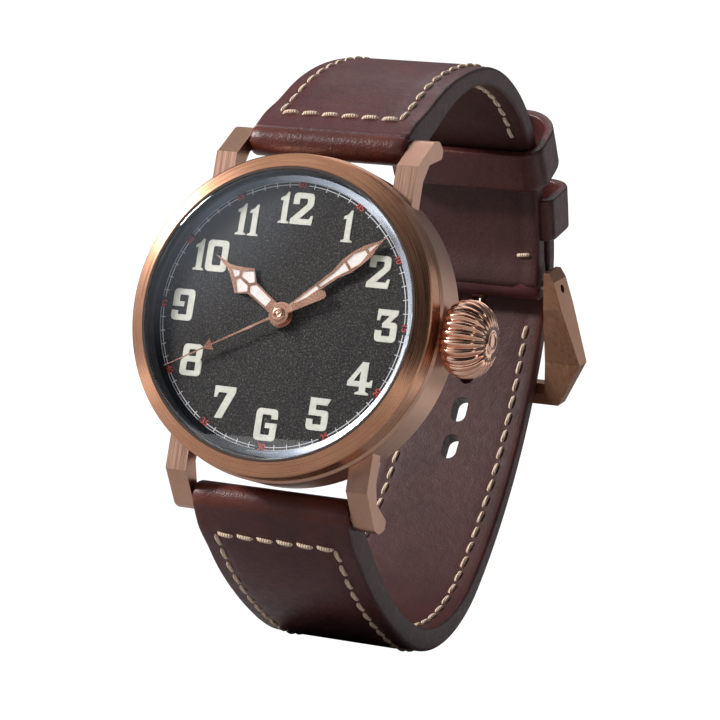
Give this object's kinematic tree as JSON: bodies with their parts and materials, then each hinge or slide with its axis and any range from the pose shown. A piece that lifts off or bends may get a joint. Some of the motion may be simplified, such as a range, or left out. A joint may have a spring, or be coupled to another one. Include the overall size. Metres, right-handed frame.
{
  "type": "pilot watch",
  "caption": "Bronze-coloured pilot wristwatch with a big fluted onion crown, upright numerals, open gear train and a buckled leather strap.",
  "frame": {"origin": "centre of the case back's outer face", "axes": "+X to 3 o'clock, +Z to 12 o'clock, dial faces -Y, case back faces +Y"},
  "size_m": [0.0512, 0.08, 0.0853],
  "materials": {
    "brushed_bronze": "brushed",
    "polished_bronze": "polished",
    "crystal_glass": "clear, domed",
    "gasket_rubber": "matte",
    "dark_ring": "gloss",
    "dial_black": "matte, fine grained",
    "hand_metal": "satin",
    "lume": "matte",
    "steel": "satin",
    "nickel_plate": "fine striped",
    "wheel_brass": "satin",
    "ruby": "polished",
    "strap_leather": "oiled, glossy",
    "matte_ring": "matte"
  },
  "bodies": {
    "case": {"mid_case": "brushed_bronze", "bezel": "brushed_bronze", "crystal": "crystal_glass", "crystal_gasket": "gasket_rubber", "flange_ring": "dark_ring", "case_back": "brushed_bronze", "case_back_gasket": "gasket_rubber", "crown_tube": "steel", "dial": "dial_black", "main_plate": "nickel_plate", "movement_ring": "matte_ring", "barrel_bridge": "nickel_plate", "train_bridge": "nickel_plate", "balance_cock": "nickel_plate", "jewels": "ruby", "bridge_screws": "steel", "rotor_bearing": "steel", "hairspring": "steel", "spring_bar_12": "steel", "spring_bar_6": "steel", "strap_12": "strap_leather", "strap_6": "strap_leather", "buckle_bar": "steel", "keeper_fixed": "strap_leather"},
    "seconds": {"fourth_wheel": "wheel_brass", "seconds_hand": "hand_metal"},
    "minute": {"centre_wheel": "wheel_brass", "cannon_pinion": "steel", "minute_hand": "hand_metal", "minute_hand_lume": "lume"},
    "hour": {"hour_wheel": "wheel_brass", "hour_hand": "hand_metal", "hour_hand_lume": "lume"},
    "motion_wheel": {"minute_wheel": "wheel_brass"},
    "third": {"third_wheel": "wheel_brass"},
    "escape": {"escape_wheel": "steel"},
    "drum": {"barrel": "wheel_brass"},
    "lever": {"pallet_fork": "steel"},
    "balance": {"balance_wheel": "wheel_brass"},
    "rotor": {"rotor": "nickel_plate"},
    "crown_seat": {"crown_gasket": "gasket_rubber"},
    "crown": {"crown": "polished_bronze", "winding_stem": "steel"},
    "buckle": {"buckle_frame": "brushed_bronze"},
    "tongue": {"buckle_tongue": "polished_bronze"},
    "free_keeper": {"keeper_free": "strap_leather"}
  },
  "joints": [
    {"name": "seconds_turn", "type": "hinge", "parent": "case", "child": "seconds", "pos_m": [0, 0, 0], "axis": [0, 1, 0], "continuous": true},
    {"name": "minute_turn", "type": "hinge", "parent": "case", "child": "minute", "pos_m": [0, 0, 0], "axis": [0, 1, 0], "continuous": true},
    {"name": "hour_turn", "type": "hinge", "parent": "case", "child": "hour", "pos_m": [0, 0, 0], "axis": [0, 1, 0], "continuous": true},
    {"name": "motion_wheel_turn", "type": "hinge", "parent": "case", "child": "motion_wheel", "pos_m": [0.00158, 0, 0.00297], "axis": [0, 1, 0], "continuous": true},
    {"name": "third_turn", "type": "hinge", "parent": "case", "child": "third", "pos_m": [0.00211, 0, -0.00397], "axis": [0, 1, 0], "continuous": true},
    {"name": "escape_turn", "type": "hinge", "parent": "case", "child": "escape", "pos_m": [-0.00348, 0, -0.00272], "axis": [0, 1, 0], "continuous": true},
    {"name": "drum_turn", "type": "hinge", "parent": "case", "child": "drum", "pos_m": [-0.00326, 0, 0.00565], "axis": [0, 1, 0], "continuous": true},
    {"name": "lever_rock", "type": "hinge", "parent": "case", "child": "lever", "pos_m": [-0.00208, 0, -0.00509], "axis": [0, 1, 0], "range_deg": [-5, 5]},
    {"name": "balance_swing", "type": "hinge", "parent": "case", "child": "balance", "pos_m": [0, 0, -0.0086], "axis": [0, 1, 0], "range_deg": [-270, 270], "stiffness_Nm_per_rad": 0.00000037},
    {"name": "rotor_turn", "type": "hinge", "parent": "case", "child": "rotor", "pos_m": [0, 0, 0], "axis": [0, 1, 0], "continuous": true},
    {"name": "crown_pull", "type": "slide", "parent": "case", "child": "crown_seat", "axis": [1, 0, 0], "range_m": [0, 0.0012]},
    {"name": "crown_turn", "type": "hinge", "parent": "crown_seat", "child": "crown", "pos_m": [0.02305, -0.0067, 0], "axis": [1, 0, 0], "continuous": true},
    {"name": "buckle_swing", "type": "hinge", "parent": "case", "child": "buckle", "pos_m": [0, 0.05578, 0.01707], "axis": [1, 0, 0], "range_deg": [0, 2.5]},
    {"name": "tongue_swing", "type": "hinge", "parent": "buckle", "child": "tongue", "pos_m": [0, 0.05578, 0.01707], "axis": [1, 0, 0], "range_deg": [0, 1.5]},
    {"name": "keeper_travel", "type": "hinge", "parent": "case", "child": "free_keeper", "pos_m": [0, 0.02594, 0.0143], "axis": [1, 0, 0], "range_deg": [-5, 10]}
  ],
  "couplings": [
    {"joint": "minute_turn", "follows": "seconds_turn", "ratio": 0.016667},
    {"joint": "hour_turn", "follows": "seconds_turn", "ratio": 0.0013889},
    {"joint": "motion_wheel_turn", "follows": "seconds_turn", "ratio": -0.0055556},
    {"joint": "third_turn", "follows": "seconds_turn", "ratio": -0.13333},
    {"joint": "escape_turn", "follows": "seconds_turn", "ratio": -10},
    {"joint": "drum_turn", "follows": "seconds_turn", "ratio": -0.0025641}
  ]
}
